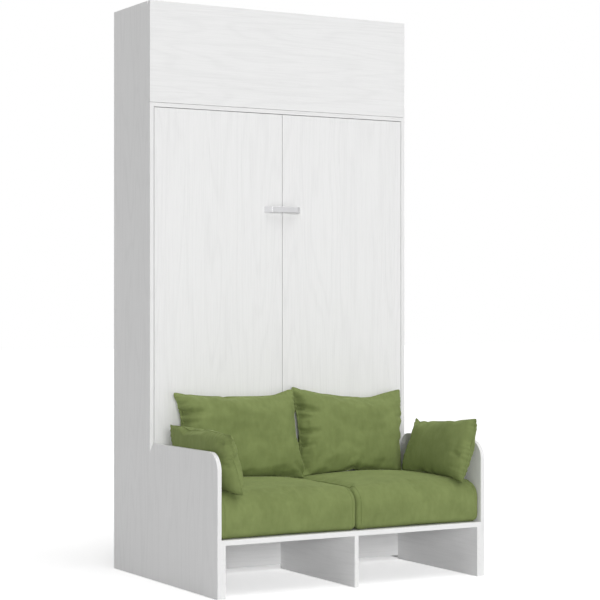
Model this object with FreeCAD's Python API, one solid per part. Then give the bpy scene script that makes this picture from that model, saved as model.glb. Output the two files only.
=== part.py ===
import FreeCAD, Part
import math
import os

# Wall bed with a sofa in front of it and a storage unit on top. Millimetres.
# X runs along the front, the room is at -Y, the wall at +Y, the floor at z = 0.
# The origin is on the floor, midway along the width and midway between wall and sofa front.
# Most places are given as a reach, the distance from the wall towards the room.

# Overall sizes
width = 1380.0
cabinet_height = 2170.0
upper_height = 464.0
cabinet_depth = 400.0
sofa_reach = 1070.0
board = 19.0
front_board = 20.0
door_gap = 3.0
seat_gap = 0.3
plate_gap = 0.5

# Sofa boards
arm_height = 620.0
arm_front_radius = 80.0
arm_back_radius = 60.0
seat_height = 249.0
seat_board_t = 22.0
support_t = 20.0

# Lower front panel and rear rails
kick_gap = 17.0
lower_panel_top = 294.0
moving_panel_gap = 6.0
lower_rail_bottom = 20.0
lower_rail_height = 130.0
headboard_bottom = 780.0
headboard_height = 520.0
upper_rail_height = 128.0
wall_hole_r = 4.0
wall_hole_span = 900.0
wall_hole_rise = 80.0

# Bed: pivot line and frame
pivot_behind = 50.0
pivot_height = 535.0
pivot_pin_r = 10.0
pivot_boss_r = 18.0
pivot_boss_length = 16.0
pivot_flange_t = 6.0
pivot_flange_r = 27.0
fit_gap = 0.05
side_room = 51.0
rail_w = 25.0
rail_depth = 40.0
rail_wall = 2.0
rail_bottom = 305.0
rail_top_room = 33.0
cross_rail_depth = 20.0
cross_rail_w = 30.0
cross_rail_count = 4

# Slats and mattress
slat_count = 13
slat_w = 68.0
slat_t = 8.0
slat_crown = 9.0
slat_behind = 34.0
slat_bottom_room = 85.0
slat_top_room = 95.0
holder_w = 14.0
holder_wall = 4.0
mattress_side_room = 71.0
mattress_top_room = 16.0
mattress_t = 150.0
mattress_bottom = 235.0
mattress_round = 22.0
mattress_gap = 0.3
strap_w = 50.0
strap_t = 2.0
strap_gap = 3.0
strap_height_shares = (0.276, 0.813)

# Bed legs
leg_pivot_behind = 75.0
leg_pivot_rise = 10.0
leg_pin_r = 6.0
leg_offset = 37.0
leg_w = 24.0
leg_t = 20.0
leg_head_r = 14.0
leg_crank = 46.0
leg_gap = 14.0
leg_floor_gap = 1.0
foot_t = 12.0
foot_round = 3.0
bracket_t = 6.0
bracket_drop = 64.0
bracket_rise = 14.0
bracket_behind = 16.0

# Gas springs of the bed
spring_behind = 220.0
spring_height = 1050.0
stud_behind = 20.0
stud_height = 335.0
spring_r = 11.0
spring_length = 400.0
spring_bottom = 80.0
rod_r = 5.0
rod_insert = 39.7
eye_r = 9.0
eye_t = 12.0
eye_pin_r = 4.0
eye_side_gap = 17.0
eye_wall = 2.75
spring_foot_r = 18.0
stud_r = 9.0

# Flap door of the upper unit, its hinges and struts
flap_seam = 1.5
flap_gap = 3.0
hinge_drop = 4.5
hinge_barrel_r = 4.0
hinge_cove_r = 5.5
hinge_room_r = 7.5
hinge_pin_r = 1.5
hinge_knuckle = 24.0
hinge_knuckle_gap = 0.4
hinge_leaf_t = 1.2
hinge_leaf_drop = 16.0
hinge_end_room = 111.0
strut_wall_distance = 130.0
strut_drop = 234.0
flap_stud_behind = 28.0
flap_stud_drop = 104.0
strut_r = 7.0
strut_eye_wall = 1.75
strut_foot_r = 13.5
strut_foot_t = 3.0
strut_length = 230.0
strut_bottom = 30.0
strut_rod_r = 3.0
strut_rod_insert = 177.7
strut_side_gap = 14.0
upper_back_t = 5.0
upper_back_reach = 6.0

# Handle
handle_height = 1698.0
handle_length = 195.0
handle_flat = 140.0
handle_rise = 28.0
handle_w = 27.0
handle_t = 6.0
handle_round = 1.5

# Cushions
seat_cushion_gap = 3.0
seat_cushion_behind = 5.0
seat_cushion_h = 180.0
seat_crown = 34.0
seat_front_r = 60.0
seat_side_draw = 8.0
seat_crown_fall_share = 2.0 / 3.0
seat_front_bulge = 8.0
back_side_room = 49.5
back_cushion_h = 424.0
back_cushion_t = 145.0
back_cushion_edge = 16.0
pillow_edge_full_share = 1.2
back_cushion_draw = 22.0
back_cushion_out = 74.5
back_cushion_z = 648.4
back_lean_share = 0.18
arm_cushion_back_room = 217.0
arm_cushion_h = 270.0
arm_cushion_t = 100.0
arm_cushion_edge = 14.0
arm_cushion_draw = 14.0
arm_cushion_behind = 3.0
arm_cushion_offset = 41.0
arm_cushion_sink = 4.8
arm_cushion_turn = 3.7
arm_cushion_z = 581.8
arm_cushion_in = 64.0
arm_lean_share = 0.25
section_shares = (-1.0, -0.8, -0.4, 0.4, 0.8, 1.0)

# Overrun of every cut
over = 5.0

# Worked out from the sizes above
half = width / 2
inner = half - board
wall_y = sofa_reach / 2
top = cabinet_height + upper_height
opening_top = cabinet_height - board
moving_bottom = lower_panel_top + moving_panel_gap
moving_top = opening_top - door_gap
door_back = cabinet_depth - front_board
rail_x = inner - side_room
rail_back = door_back - rail_depth
carcass_reach = cabinet_depth - front_board - flap_gap
pivot_reach = cabinet_depth - pivot_behind
rail_top = moving_top - rail_top_room
slat_end_reach = door_back - slat_behind
slat_first = rail_bottom + slat_bottom_room
slat_last = rail_top - slat_top_room
mattress_width = 2 * (inner - mattress_side_room)
mattress_length = opening_top - mattress_top_room - mattress_bottom
leg_pivot_reach = cabinet_depth - leg_pivot_behind
leg_pivot_height = rail_top + leg_pivot_rise
stud_reach = door_back - stud_behind
hinge_spread = inner - hinge_end_room
strut_height = top - strut_drop
flap_stud_reach = door_back - flap_stud_behind
flap_stud_height = top - flap_stud_drop
seat_cushion_front = sofa_reach - seat_cushion_behind
back_cushion_w = inner - back_side_room - seat_cushion_gap / 2
back_cushion_reach = cabinet_depth + back_cushion_out
arm_cushion_w = sofa_reach - cabinet_depth - arm_cushion_back_room - arm_cushion_behind
arm_cushion_reach = sofa_reach - arm_cushion_behind - arm_cushion_w / 2
diagonal_share = math.sqrt(0.5)
sides = (("left", -1), ("right", 1))

os.makedirs("parts", exist_ok=True)


def save(name, *shapes):
    """Write one sub-part, a single solid or a group of separate ones."""
    shape = shapes[0] if len(shapes) == 1 else Part.makeCompound(list(shapes))
    shape.exportStep("parts/" + name + ".step")
    print(name, len(shape.Solids), "solids", round(shape.Volume), shape.isValid())


def block(x_low, x_high, reach_low, reach_high, z_low, z_high):
    """A board between two places in x, two reaches from the wall and two heights."""
    size = (abs(x_high - x_low), reach_high - reach_low, z_high - z_low)
    corner = FreeCAD.Vector(min(x_low, x_high), wall_y - reach_high, z_low)
    return Part.makeBox(*size, corner)


def place(x, reach, z):
    return FreeCAD.Vector(x, wall_y - reach, z)


def rod_x(x_low, x_high, reach, z, radius):
    """A round bar along X."""
    start = place(min(x_low, x_high), reach, z)
    return Part.makeCylinder(radius, abs(x_high - x_low), start, FreeCAD.Vector(1, 0, 0))


def bar(x, start, end, from_start, to_start, radius):
    """A round bar on the line between two points (reach, height), at one x."""
    a = place(x, start[0], start[1])
    b = place(x, end[0], end[1])
    way = (b - a).normalize()
    return Part.makeCylinder(radius, to_start - from_start, a + way * from_start, way)


def slab_from_profile(points, x_low, x_high):
    """A plate along X from a closed outline of (reach, height) points."""
    low = min(x_low, x_high)
    corners = [place(low, reach, z) for reach, z in points]
    face = Part.Face(Part.makePolygon(corners + corners[:1]))
    return face.extrude(FreeCAD.Vector(abs(x_high - x_low), 0, 0))


def round_edges(shape, radius, test):
    chosen = [edge for edge in shape.Edges if test(edge)]
    return shape.makeFillet(radius, chosen)


def cabinet_shell():
    for side, sign in sides:
        save("side_panel_" + side,
             block(sign * inner, sign * half, 0, cabinet_depth, 0, cabinet_height))
    save("cabinet_top_board", block(-inner, inner, 0, cabinet_depth, opening_top, cabinet_height))
    save("lower_front_panel",
         block(-inner, inner, door_back, cabinet_depth, kick_gap, lower_panel_top))
    save("lower_rear_rail",
         block(-inner, inner, 0, board, lower_rail_bottom, lower_rail_bottom + lower_rail_height))
    save("headboard_panel",
         block(-inner, inner, 0, board, headboard_bottom, headboard_bottom + headboard_height))


def upper_rear_rail():
    rail = block(-inner, inner, 0, board, opening_top - upper_rail_height, opening_top)
    middle = opening_top - upper_rail_height / 2
    for x in (-wall_hole_span / 2, wall_hole_span / 2):
        for z in (middle - wall_hole_rise / 2, middle + wall_hole_rise / 2):
            start = place(x, board + over, z)
            rail = rail.cut(Part.makeCylinder(
                wall_hole_r, board + 2 * over, start, FreeCAD.Vector(0, 1, 0)))
    save("upper_rear_rail", rail)


def pivot_flanges():
    """Steel flanges on the side panels, each with the bushed boss that a bed pin turns in."""
    flanges = []
    for side, sign in sides:
        flange = rod_x(sign * (inner - pivot_flange_t), sign * inner,
                       pivot_reach, pivot_height, pivot_flange_r)
        boss = rod_x(sign * (inner - pivot_boss_length), sign * inner,
                     pivot_reach, pivot_height, pivot_boss_r)
        bore = rod_x(sign * (inner - pivot_boss_length - over), sign * (inner + over),
                     pivot_reach, pivot_height, pivot_pin_r + fit_gap)
        flanges.append(flange.fuse(boss).cut(bore).removeSplitter())
    save("pivot_flanges", *flanges)
    pins = [rod_x(sign * rail_x, sign * (inner - plate_gap), pivot_reach, pivot_height, pivot_pin_r)
            for side, sign in sides]
    save("pivot_pins", *pins)


def upper_unit():
    for side, sign in sides:
        panel = block(sign * inner, sign * half, 0, carcass_reach, cabinet_height, top)
        save("upper_side_" + side, panel.cut(hinge_cove(hinge_room_r)))
    save("upper_bottom_board",
         block(-inner, inner, 0, carcass_reach, cabinet_height, cabinet_height + board))
    save("upper_top_board",
         block(-inner, inner, 0, carcass_reach, top - board, top).cut(hinge_cove(hinge_room_r)))
    save("upper_back_panel",
         block(-inner, inner, upper_back_reach, upper_back_reach + upper_back_t,
               cabinet_height + board, top - board))


def hinge_line():
    return carcass_reach + flap_gap / 2, top - hinge_drop


def hinge_cove(radius):
    """Room along the hinge line for the knuckles and for the turning top edge of the door."""
    reach, z = hinge_line()
    return rod_x(-half - over, half + over, reach, z, radius)


def flap_door():
    door = block(-half, half, door_back, cabinet_depth, cabinet_height + flap_seam, top)
    save("flap_door", door.cut(hinge_cove(hinge_cove_r)))


def flap_hinges():
    """Three butt hinges: two outer knuckles with the pin on the carcass, one between them on the door."""
    reach, z = hinge_line()
    fixed = []
    moving = []
    for centre in (-hinge_spread, 0, hinge_spread):
        low = centre - hinge_knuckle * 3 / 2
        high = centre + hinge_knuckle * 3 / 2
        split_low = centre - hinge_knuckle / 2
        split_high = centre + hinge_knuckle / 2
        pin = rod_x(low, high, reach, z, hinge_pin_r)
        leaf = block(low, high, carcass_reach, carcass_reach + hinge_leaf_t, z - hinge_leaf_drop, z)
        room = rod_x(split_low, split_high, reach, z, hinge_barrel_r + hinge_knuckle_gap)
        body = leaf.cut(room).fuse([pin, rod_x(low, split_low, reach, z, hinge_barrel_r),
                                    rod_x(split_high, high, reach, z, hinge_barrel_r)])
        fixed.append(body.removeSplitter())
        inner_low = split_low + hinge_knuckle_gap
        inner_high = split_high - hinge_knuckle_gap
        leaf = block(inner_low, inner_high, door_back - hinge_leaf_t, door_back,
                     z - hinge_leaf_drop, z)
        knuckle = rod_x(inner_low, inner_high, reach, z, hinge_barrel_r)
        bore = rod_x(low, high, reach, z, hinge_pin_r + fit_gap)
        moving.append(leaf.fuse(knuckle).cut(bore).removeSplitter())
    save("flap_hinge_fixed", *fixed)
    save("flap_hinge_moving", *moving)


def strut(names, x_in, ground, stud, radius, length, bottom, thin_r, insert, foot_wall):
    """Cylinder and rod of one gas strut at x, from its ground eye to its stud eye."""
    reach = math.hypot(stud[0] - ground[0], stud[1] - ground[1])
    eye_low = x_in - eye_t / 2
    eye_high = x_in + eye_t / 2
    tube = bar(x_in, ground, stud, eye_r, length, radius)
    tube = tube.fuse(rod_x(eye_low, eye_high, ground[0], ground[1], eye_r + foot_wall))
    tube = tube.cut(rod_x(eye_low - over, eye_high + over, ground[0], ground[1],
                          eye_pin_r + fit_gap))
    tube = tube.cut(bar(x_in, ground, stud, bottom, length + over, thin_r + fit_gap))
    save(names[0], tube.removeSplitter())
    thin = bar(x_in, ground, stud, length - insert, reach - eye_pin_r - fit_gap, thin_r)
    eye = rod_x(eye_low, eye_high, stud[0], stud[1], eye_r)
    socket = rod_x(eye_low - over, eye_high + over, stud[0], stud[1], eye_pin_r + fit_gap)
    save(names[1], thin.fuse(eye).cut(socket).removeSplitter())


def gas_springs():
    ground = (cabinet_depth - spring_behind, spring_height)
    stud = (stud_reach, stud_height)
    brackets = []
    studs = []
    middle = rail_x + eye_side_gap + eye_t / 2
    for side, sign in sides:
        x = sign * middle
        strut(("gas_cylinder_" + side, "gas_rod_" + side), x, ground, stud,
              spring_r, spring_length, spring_bottom, rod_r, rod_insert, eye_wall)
        foot = rod_x(sign * (inner - bracket_t), sign * inner, ground[0], ground[1], spring_foot_r)
        pin = rod_x(sign * (middle - eye_t / 2), sign * inner, ground[0], ground[1], eye_pin_r)
        brackets.append(foot.fuse(pin).removeSplitter())
        studs.append(rod_x(sign * rail_x, sign * (middle - eye_t / 2 - plate_gap),
                           stud[0], stud[1], stud_r))
    save("gas_spring_brackets", *brackets)
    save("gas_spring_studs", *studs)


def flap_struts():
    ground = (strut_wall_distance, strut_height)
    stud = (flap_stud_reach, flap_stud_height)
    brackets = []
    studs = []
    middle = inner - strut_side_gap - eye_t / 2
    for side, sign in sides:
        x = sign * middle
        strut(("flap_cylinder_" + side, "flap_rod_" + side), x, ground, stud,
              strut_r, strut_length, strut_bottom, strut_rod_r, strut_rod_insert, strut_eye_wall)
        foot = rod_x(sign * (inner - strut_foot_t), sign * inner, ground[0], ground[1], strut_foot_r)
        pin = rod_x(sign * (middle - eye_t / 2), sign * inner, ground[0], ground[1], eye_pin_r)
        brackets.append(foot.fuse(pin).removeSplitter())
        side_low = middle - eye_t / 2 - plate_gap
        ear = block(sign * (side_low - strut_foot_t), sign * side_low,
                    stud[0] - eye_r, door_back, stud[1] - eye_r, stud[1] + eye_r)
        studs.append(ear)
    save("flap_strut_brackets", *brackets)
    save("flap_strut_ears", *studs)


def front_panels():
    for side, sign in sides:
        save("front_panel_" + side,
             block(sign * door_gap / 2, sign * (inner - door_gap), door_back, cabinet_depth,
                   moving_bottom, moving_top))


def handle():
    """A flat bar bent into a bridge across the two front panels."""
    foot = handle_length / 2
    flat = handle_flat / 2
    z_low = handle_height - handle_w / 2
    lift = cabinet_depth + handle_rise
    slope = math.hypot(foot - flat, handle_rise)
    shift = handle_t * slope / handle_rise
    outer = [(-foot, cabinet_depth), (-flat, lift), (flat, lift), (foot, cabinet_depth)]
    inside = [(foot - shift, cabinet_depth), (flat - handle_t / 2, lift - handle_t),
              (-flat + handle_t / 2, lift - handle_t), (-foot + shift, cabinet_depth)]
    corners = [place(x, reach, z_low) for x, reach in outer + inside]
    face = Part.Face(Part.makePolygon(corners + corners[:1]))
    body = face.extrude(FreeCAD.Vector(0, 0, handle_w))
    front_y = wall_y - lift
    body = round_edges(body, handle_round,
                       lambda edge: max(abs(v.Y - front_y) for v in edge.Vertexes) < fit_gap)
    save("handle", body)


def bed_rails():
    """Rectangular tubes: two side rails and the cross rails that the front panels are screwed to."""
    for side, sign in sides:
        tube = block(sign * (rail_x - rail_w), sign * rail_x, rail_back, door_back,
                     rail_bottom, rail_top)
        hollow = block(sign * (rail_x - rail_w + rail_wall), sign * (rail_x - rail_wall),
                       rail_back + rail_wall, door_back - rail_wall,
                       rail_bottom - over, rail_top + over)
        save("bed_rail_" + side, tube.cut(hollow))
    inside = rail_x - rail_w
    step = (rail_top - rail_bottom - cross_rail_w) / (cross_rail_count - 1)
    rails = []
    for index in range(cross_rail_count):
        z_low = rail_bottom + index * step
        tube = block(-inside, inside, door_back - cross_rail_depth, door_back,
                     z_low, z_low + cross_rail_w)
        hollow = block(-inside - over, inside + over, door_back - cross_rail_depth + rail_wall,
                       door_back - rail_wall, z_low + rail_wall, z_low + cross_rail_w - rail_wall)
        rails.append(tube.cut(hollow))
    save("bed_cross_rails", *rails)


def slat_shape(z_low):
    """One sprung slat, bent towards the mattress in the middle."""
    end = rail_x - rail_w - holder_wall
    z = z_low
    near = [place(-end, slat_end_reach + slat_t, z), place(0, slat_end_reach + slat_t - slat_crown, z),
            place(end, slat_end_reach + slat_t, z)]
    far = [place(end, slat_end_reach, z), place(0, slat_end_reach - slat_crown, z),
           place(-end, slat_end_reach, z)]
    wire = Part.Wire([Part.Arc(*near).toShape(), Part.makeLine(near[2], far[0]),
                      Part.Arc(*far).toShape(), Part.makeLine(far[2], near[0])])
    return Part.Face(wire).extrude(FreeCAD.Vector(0, 0, slat_w))


def slats_and_holders():
    step = (slat_last - slat_first) / (slat_count - 1)
    slats = []
    holders = []
    inside = rail_x - rail_w
    for index in range(slat_count):
        z_low = slat_first + index * step - slat_w / 2
        slat = slat_shape(z_low)
        slats.append(slat)
        for side, sign in sides:
            holder = block(sign * (inside - 2 * holder_w), sign * inside,
                           rail_back + seat_gap, slat_end_reach + slat_t + holder_wall,
                           z_low - holder_wall, z_low + slat_w + holder_wall)
            holders.append(holder.cut(slat))
    save("slats", *slats)
    save("slat_holders", *holders)


def mattress():
    front = slat_end_reach - slat_crown - mattress_gap
    body = block(-mattress_width / 2, mattress_width / 2, front - mattress_t, front,
                 mattress_bottom, mattress_bottom + mattress_length)
    save("mattress", body.makeFillet(mattress_round, body.Edges))


def mattress_straps():
    """Webbing from rail to rail round the back of the mattress."""
    front = slat_end_reach - slat_crown - mattress_gap
    back = front - mattress_t - strap_gap
    outside = mattress_width / 2 + strap_gap + strap_t
    straps = []
    for share in strap_height_shares:
        z = mattress_bottom + share * mattress_length
        band = block(-outside, outside, back - strap_t, rail_back, z - strap_w / 2, z + strap_w / 2)
        room = block(-outside + strap_t, outside - strap_t, back, rail_back + over,
                     z - strap_w, z + strap_w)
        straps.append(band.cut(room))
    save("mattress_straps", *straps)


def bed_legs():
    """Cranked legs beside the rails. They turn over the far end of the bed as it opens."""
    line = leg_pivot_reach + leg_offset
    foot_z = leg_pivot_height - (pivot_height + pivot_reach - leg_pivot_reach - leg_floor_gap)
    x_near = rail_x + leg_gap
    brackets = []
    for side, sign in sides:
        outline = [(leg_pivot_reach - leg_head_r, leg_pivot_height),
                   (leg_pivot_reach - leg_head_r, leg_pivot_height - leg_w / 2),
                   (line - leg_w / 2, leg_pivot_height - leg_crank),
                   (line - leg_w / 2, foot_z + foot_t),
                   (line + leg_w / 2, foot_z + foot_t),
                   (line + leg_w / 2, leg_pivot_height - leg_crank / 4),
                   (leg_pivot_reach + leg_head_r, leg_pivot_height + leg_head_r / 2),
                   (leg_pivot_reach, leg_pivot_height)]
        plate = slab_from_profile(outline, sign * x_near, sign * (x_near + leg_t))
        head = rod_x(sign * x_near, sign * (x_near + leg_t), leg_pivot_reach, leg_pivot_height,
                     leg_head_r)
        bore = rod_x(sign * (x_near - over), sign * (x_near + leg_t + over),
                     leg_pivot_reach, leg_pivot_height, leg_pin_r + fit_gap)
        save("leg_" + side, plate.fuse(head).removeSplitter().cut(bore))
        foot = block(sign * x_near, sign * (x_near + leg_t), line - leg_w / 2, line + leg_w / 2,
                     foot_z, foot_z + foot_t)
        foot = round_edges(foot, foot_round,
                           lambda edge: max(v.Z for v in edge.Vertexes) < foot_z + fit_gap)
        save("leg_foot_" + side, foot)
        bracket = block(sign * rail_x, sign * (rail_x + bracket_t),
                        leg_pivot_reach - bracket_behind, door_back - leg_w / 2,
                        leg_pivot_height - bracket_drop, leg_pivot_height + bracket_rise)
        pin = rod_x(sign * rail_x, sign * (x_near + leg_t + plate_gap),
                    leg_pivot_reach, leg_pivot_height, leg_pin_r)
        brackets.append(bracket.fuse(pin).removeSplitter())
    save("leg_brackets", *brackets)


def bed_stops():
    """Rubber buffers on the side panels that the side rails close against."""
    stops = []
    for side, sign in sides:
        for z in (headboard_bottom, headboard_bottom + headboard_height):
            stops.append(block(sign * (rail_x - rail_w / 2), sign * inner,
                               rail_back - seat_gap - front_board, rail_back - seat_gap,
                               z, z + rail_w))
    save("bed_stops", *stops)


def arm_panel(sign):
    """A side board of the sofa with a large round at the front and a smaller one at the back."""
    x_low = min(sign * inner, sign * half)
    back = cabinet_depth
    front = sofa_reach

    def corner(reach, z):
        return place(x_low, reach, z)

    front_ease = arm_front_radius * (1 - diagonal_share)
    back_ease = arm_back_radius * (1 - diagonal_share)
    front_mid = corner(front - front_ease, arm_height - front_ease)
    back_mid = corner(back + back_ease, arm_height - back_ease)
    low_back = corner(back, 0)
    low_front = corner(front, 0)
    front_side = corner(front, arm_height - arm_front_radius)
    front_top = corner(front - arm_front_radius, arm_height)
    back_top = corner(back + arm_back_radius, arm_height)
    back_side = corner(back, arm_height - arm_back_radius)
    wire = Part.Wire([Part.makeLine(low_back, low_front), Part.makeLine(low_front, front_side),
                      Part.Arc(front_side, front_mid, front_top).toShape(),
                      Part.makeLine(front_top, back_top),
                      Part.Arc(back_top, back_mid, back_side).toShape(),
                      Part.makeLine(back_side, low_back)])
    return Part.Face(wire).extrude(FreeCAD.Vector(board, 0, 0))


def sofa_boards():
    for side, sign in sides:
        save("arm_panel_" + side, arm_panel(sign))
        save("seat_support_" + side,
             block(sign * (inner - support_t), sign * inner, cabinet_depth, sofa_reach,
                   0, seat_height - seat_board_t))
    save("seat_board",
         block(-inner, inner, cabinet_depth, sofa_reach, seat_height - seat_board_t, seat_height))
    save("divider_panel",
         block(-support_t / 2, support_t / 2, cabinet_depth, sofa_reach,
               0, seat_height - seat_board_t))


def seat_section(x, shrink, crown):
    """Side outline of a seat cushion at one x: flat below, full in front, crowned above."""
    base = seat_height + seat_gap
    back = cabinet_depth + seat_cushion_gap + shrink
    front = seat_cushion_front - shrink
    z_top = base + seat_cushion_h - shrink
    ease = seat_front_r * (1 - diagonal_share)
    low_back = place(x, back, base)
    low_front = place(x, front - seat_front_bulge, base)
    mid_front = place(x, front, base + (z_top - base - seat_front_r) / 2)
    high_front = place(x, front - seat_front_bulge / 2, z_top - seat_front_r)
    round_mid = place(x, front - seat_front_bulge / 2 - ease, z_top - ease)
    top_front = place(x, front - seat_front_r - seat_front_bulge / 2, z_top)
    top_mid = place(x, (back + front - seat_front_r) / 2, z_top + crown)
    top_back = place(x, back, z_top + crown / 2)
    return Part.Wire([Part.makeLine(low_back, low_front),
                      Part.Arc(low_front, mid_front, high_front).toShape(),
                      Part.Arc(high_front, round_mid, top_front).toShape(),
                      Part.Arc(top_front, top_mid, top_back).toShape(),
                      Part.makeLine(top_back, low_back)])


def seat_cushions():
    for side, sign in sides:
        near = seat_cushion_gap / 2
        far = inner - seat_cushion_gap
        wires = []
        for share in section_shares:
            x = sign * ((near + far) / 2 + share * (far - near) / 2)
            wires.append(seat_section(x, seat_side_draw * share * share,
                                      seat_crown * (1 - share * share * seat_crown_fall_share)))
        save("seat_cushion_" + side, Part.makeLoft(wires, True))


def pillow(long_size, high_size, thick, edge, draw):
    """A loose cushion round the origin: X along its length, Z up, Y its thickness."""
    wires = []
    for share in section_shares:
        x = share * long_size / 2
        full = edge + (thick - edge) * math.sqrt(max(0, 1 - share * share))
        z = high_size / 2
        low_front = FreeCAD.Vector(x, -edge / 2, -z)
        low_back = FreeCAD.Vector(x, edge / 2, -z)
        top_front = FreeCAD.Vector(x, -edge / 2, z)
        top_back = FreeCAD.Vector(x, edge / 2, z)
        bulge = max(full, edge * pillow_edge_full_share) / 2
        wires.append(Part.Wire([
            Part.Arc(low_front, FreeCAD.Vector(x, -bulge, 0), top_front).toShape(),
            Part.makeLine(top_front, top_back),
            Part.Arc(top_back, FreeCAD.Vector(x, bulge, 0), low_back).toShape(),
            Part.makeLine(low_back, low_front)]))
    return Part.makeLoft(wires, True).common(pillow_outline(long_size, high_size, thick, draw))


def pillow_outline(long_size, high_size, thick, draw):
    """The front view of a loose cushion: full corners and drawn-in sides, as a prism."""
    y = -thick
    a = long_size / 2
    b = high_size / 2
    corners = [(-a, -b), (a, -b), (a, b), (-a, b)]
    mids = [(0, -b + draw), (a - draw, 0), (0, b - draw), (-a + draw, 0)]
    edges = []
    for index in range(len(corners)):
        start = corners[index]
        end = corners[(index + 1) % len(corners)]
        mid = mids[index]
        edges.append(Part.Arc(*[FreeCAD.Vector(x, y, z) for x, z in (start, mid, end)]).toShape())
    return Part.Face(Part.Wire(edges)).extrude(FreeCAD.Vector(0, 2 * thick, 0))


def back_cushions():
    for side, sign in sides:
        body = pillow(back_cushion_w, back_cushion_h, back_cushion_t, back_cushion_edge,
                      back_cushion_draw)
        lean = math.degrees(math.atan(back_lean_share))
        body.rotate(FreeCAD.Vector(), FreeCAD.Vector(1, 0, 0), -lean)
        body.translate(place(sign * (back_cushion_w + seat_cushion_gap) / 2, back_cushion_reach,
                             back_cushion_z))
        save("back_cushion_" + side, body)


def arm_cushions():
    for side, sign in sides:
        body = pillow(arm_cushion_w, arm_cushion_h, arm_cushion_t, arm_cushion_edge,
                      arm_cushion_draw)
        body.rotate(FreeCAD.Vector(), FreeCAD.Vector(0, 0, 1), 90)
        lean = math.degrees(math.atan(arm_lean_share))
        body.rotate(FreeCAD.Vector(), FreeCAD.Vector(0, 1, 0), sign * lean)
        body.rotate(FreeCAD.Vector(), FreeCAD.Vector(0, 0, 1), arm_cushion_turn)
        deeper = 1 if side == "left" else 0
        body.translate(place(sign * (inner - arm_cushion_in),
                             arm_cushion_reach - deeper * arm_cushion_offset,
                             arm_cushion_z - deeper * arm_cushion_sink))
        save("arm_cushion_" + side, body)


cabinet_shell()
upper_rear_rail()
pivot_flanges()
upper_unit()
flap_door()
flap_hinges()
gas_springs()
flap_struts()
front_panels()
handle()
bed_rails()
slats_and_holders()
mattress()
mattress_straps()
bed_legs()
bed_stops()
sofa_boards()
seat_cushions()
back_cushions()
arm_cushions()
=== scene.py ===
# %% [markdown]
# # A wall bed with a sofa in front and a storage unit on top
#
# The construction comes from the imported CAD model: boards, bed frame, fittings and joints.
# This notebook dresses it. The boards get a white ash finish, the metal parts get theirs, and every
# soft part is made anew: two seat cushions, two back cushions, two arm cushions, the mattress and
# its straps. All lengths are metres, in the CAD model's own frame: X along the front, the room at
# -Y, the wall at +Y, and the floor at z = 0.

# %% Load the construction
import math
import bpy
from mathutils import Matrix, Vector, noise
from mathutils.bvhtree import BVHTree


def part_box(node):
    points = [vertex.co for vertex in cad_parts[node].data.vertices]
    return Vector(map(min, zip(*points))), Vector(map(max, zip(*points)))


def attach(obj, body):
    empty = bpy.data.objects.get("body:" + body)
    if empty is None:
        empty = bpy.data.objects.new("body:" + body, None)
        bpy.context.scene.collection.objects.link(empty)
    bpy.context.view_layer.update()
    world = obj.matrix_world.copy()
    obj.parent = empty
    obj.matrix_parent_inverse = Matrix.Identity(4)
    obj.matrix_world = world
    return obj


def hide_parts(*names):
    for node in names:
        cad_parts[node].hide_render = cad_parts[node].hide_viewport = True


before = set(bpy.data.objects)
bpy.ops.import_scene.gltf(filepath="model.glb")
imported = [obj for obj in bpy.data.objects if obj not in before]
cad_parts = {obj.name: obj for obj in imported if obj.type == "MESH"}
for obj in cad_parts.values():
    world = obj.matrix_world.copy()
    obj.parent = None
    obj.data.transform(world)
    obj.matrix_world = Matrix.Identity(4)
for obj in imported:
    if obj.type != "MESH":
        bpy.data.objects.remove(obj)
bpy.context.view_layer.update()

# %% [markdown]
# ## Camera
#
# The verticals in the picture are parallel, so the camera stands level and sees the front and the
# left side. Its place, its turn and its long lens were fitted to twelve corners and edges of the
# cabinet. The picture's centre is a little above the horizon, and a small vertical shift keeps the
# camera level.

# %% Camera
camera_place = (-4.170, -7.286, 1.2443)
camera_turn = math.radians(-29.897)
camera_lens = 107.8
camera_shift = 0.0093

camera_data = bpy.data.cameras.new("camera")
camera_data.lens = camera_lens
camera_data.shift_y = camera_shift
camera = bpy.data.objects.new("camera", camera_data)
camera.location = camera_place
camera.rotation_euler = (math.pi / 2, 0, camera_turn)
bpy.context.scene.collection.objects.link(camera)
bpy.context.scene.camera = camera
print("camera at", camera_place, "lens", camera_lens)

# %% [markdown]
# ## Numbers that vary over a surface
#
# A finish is a small calculation done at each point of a surface. Written as nodes it is long, so
# one class wraps a socket and lets Python's own arithmetic add the Math nodes. All other nodes come
# from one method: it takes the node's type, its settings, then the values or links of its sockets.

# %% Socket arithmetic
class Field:
    """A value that varies over a surface. Arithmetic on it adds Math nodes."""

    def __init__(self, finish, socket):
        self.finish = finish
        self.socket = socket

    def maths(self, operation, first, second=0.0):
        return self.finish.node("ShaderNodeMath", {"operation": operation}, {0: first, 1: second})

    def __add__(self, other):
        return self.maths("ADD", self, other)

    def __sub__(self, other):
        return self.maths("SUBTRACT", self, other)

    def __rsub__(self, other):
        return self.maths("SUBTRACT", other, self)

    def __mul__(self, other):
        return self.maths("MULTIPLY", self, other)

    __radd__ = __add__
    __rmul__ = __mul__

    def waves(self):
        """Rises and falls between 0 and 1, once each time the value grows by 2."""
        return self.maths("PINGPONG", self, 1.0)

    def between(self, low, high):
        """0 below low, 1 above high, and a smooth step from one to the other."""
        return self.finish.node("ShaderNodeMapRange", {"interpolation_type": "SMOOTHSTEP"},
                                {0: self, 1: low, 2: high})


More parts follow.
